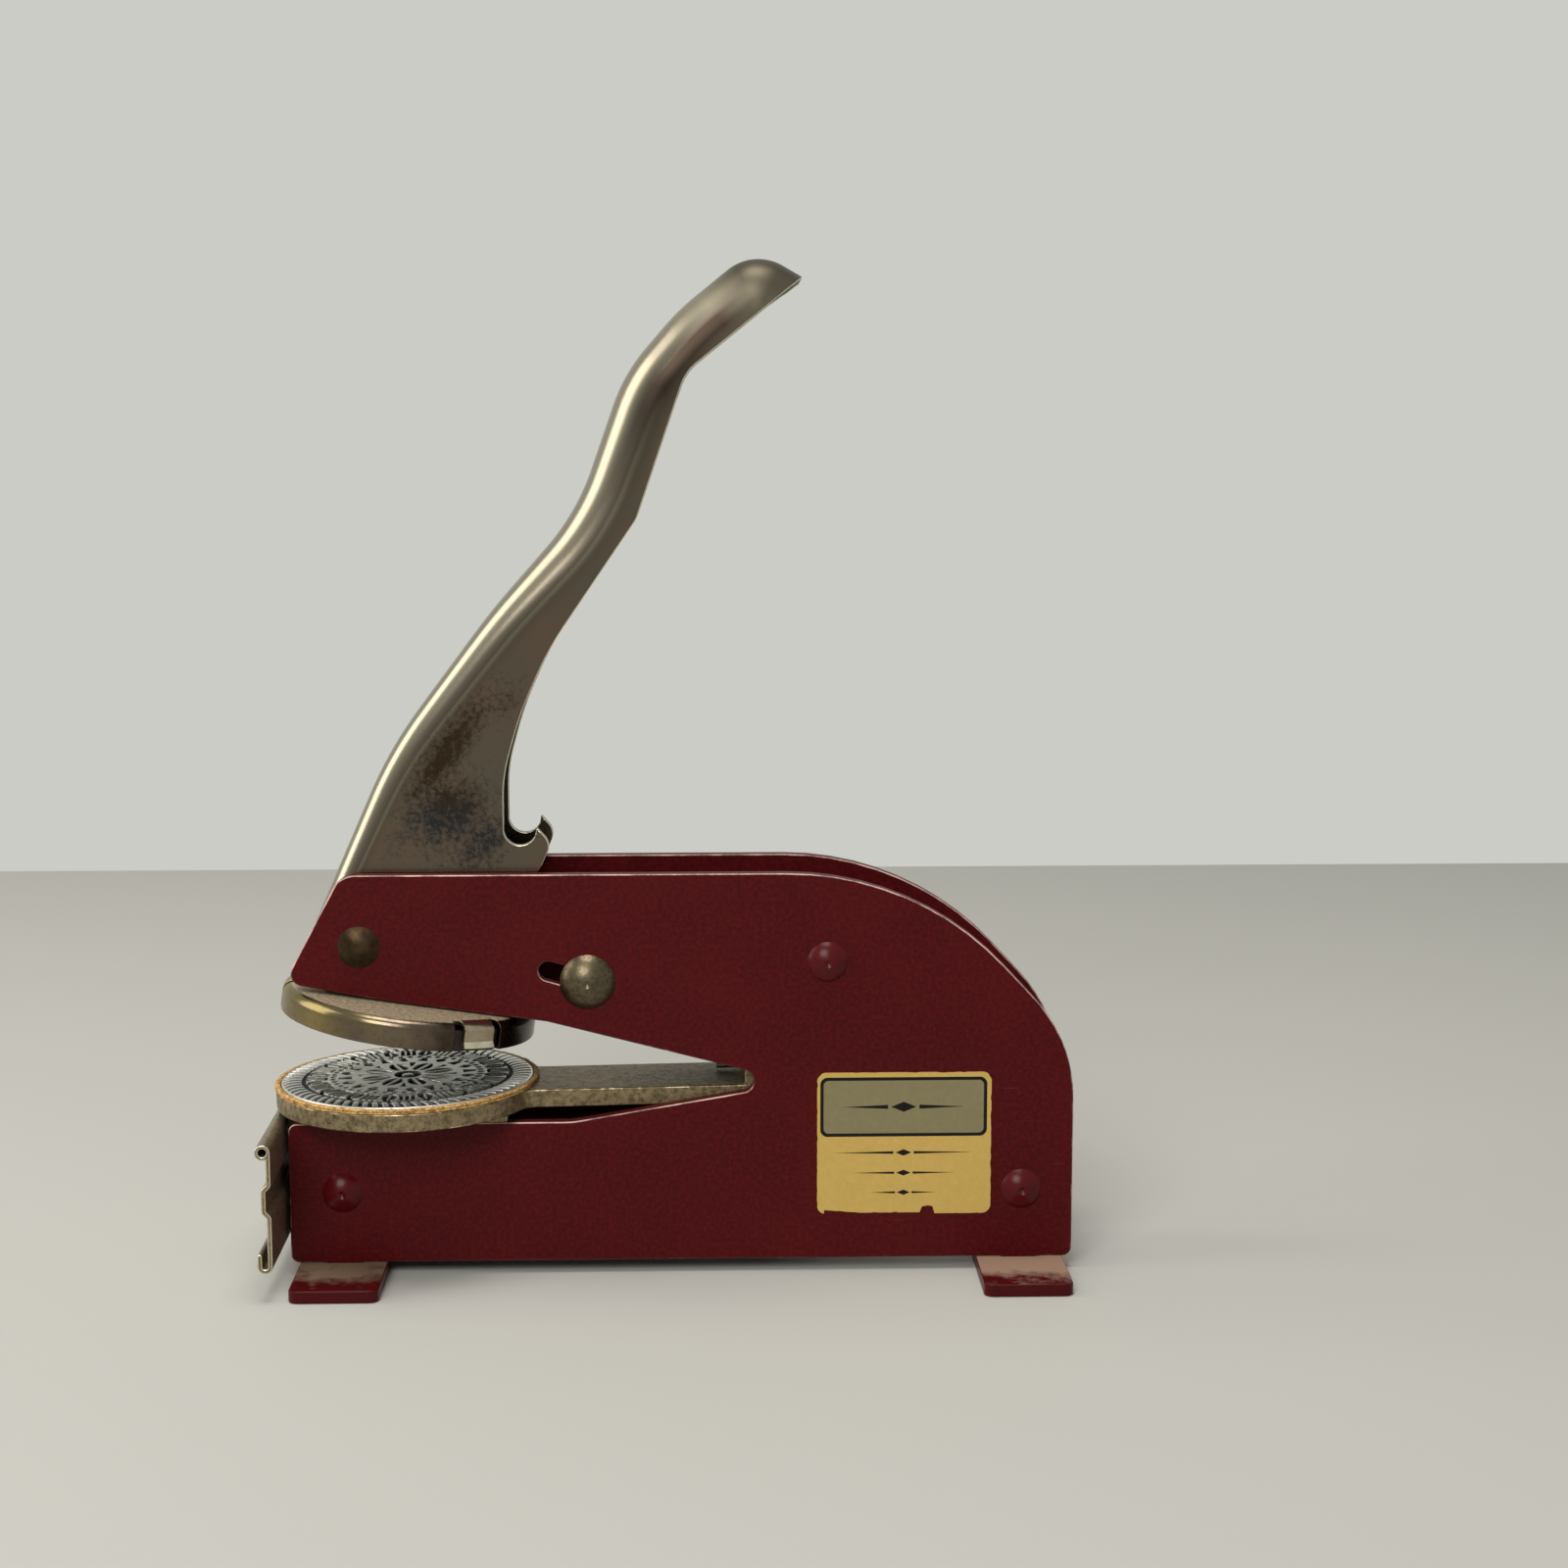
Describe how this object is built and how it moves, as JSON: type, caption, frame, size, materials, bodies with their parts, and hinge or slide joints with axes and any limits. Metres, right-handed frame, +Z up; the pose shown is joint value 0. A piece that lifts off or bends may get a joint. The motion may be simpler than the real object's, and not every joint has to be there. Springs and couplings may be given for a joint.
{
  "type": "seal embosser",
  "caption": "Desk seal embosser: red steel side plates on flat feet, hinged round dies in an open mouth, a plated pull-down lever with a curved grip, and a sliding lock pin.",
  "frame": {"origin": "on the table, under the middle of the bounding box", "axes": "+Z up, -X towards the dies at the front, +X towards the back, Y across the plates with -Y on the side of the label"},
  "size_m": [0.1308, 0.05, 0.1634],
  "materials": {
    "red_enamel": "fine wrinkle enamel, dark red, worn pale at the edges",
    "rivet_enamel": "smooth enamel, dark red",
    "nickel_plate": "worn nickel plate, warm grey, spotted",
    "plain_steel": "dull plated steel, warm grey",
    "die_metal": "engraved grey metal, dark in the recesses",
    "counter_fibre": "hard fibre, matt",
    "tan_leather": "thin tan ring, matt",
    "label_paper": "aged yellow paper, bare"
  },
  "bodies": {
    "frame": {"right_side_plate": "red_enamel", "left_side_plate": "red_enamel", "front_foot": "red_enamel", "rear_foot": "red_enamel", "frame_spacers": "plain_steel", "frame_rivets": "rivet_enamel", "pivot_rivet": "nickel_plate", "pivot_sleeve": "plain_steel", "thrust_washers": "plain_steel", "lower_die_holder": "plain_steel", "cork_ring": "tan_leather", "lower_die": "die_metal", "hinge_pin": "plain_steel", "clip_bracket": "plain_steel", "label": "label_paper", "return_spring": "plain_steel"},
    "lever": {"lever": "nickel_plate"},
    "upper_die_arm": {"upper_arm": "plain_steel", "upper_cup": "nickel_plate", "upper_die": "counter_fibre", "cup_rivets": "plain_steel"},
    "lock": {"lock_pin": "nickel_plate"},
    "clip": {"front_clip": "nickel_plate"}
  },
  "joints": [
    {"name": "lever_press", "type": "hinge", "parent": "frame", "child": "lever", "pos_m": [-0.05015, 0, 0.0544], "axis": [0, 1, 0], "range_deg": [0, 45.5], "stiffness_Nm_per_rad": 0.2, "springref_deg": -20.05},
    {"name": "upper_arm_swing", "type": "hinge", "parent": "frame", "child": "upper_die_arm", "pos_m": [0.01518, 0, 0.03433], "axis": [0, -1, 0], "range_deg": [0, 8.9], "deforming": ["return_spring"]},
    {"name": "lock_slide", "type": "slide", "parent": "frame", "child": "lock", "axis": [-0.9627, 0, 0.2706], "range_m": [0, 0.0056]},
    {"name": "clip_flex", "type": "hinge", "parent": "frame", "child": "clip", "pos_m": [-0.06315, 0, 0.006], "axis": [0, -1, 0], "range_deg": [0, 8], "stiffness_Nm_per_rad": 0.05, "springref_deg": -2.86}
  ],
  "couplings": [
    {"joint": "upper_arm_swing", "follows": "lever_press", "ratio": 0.1956}
  ]
}
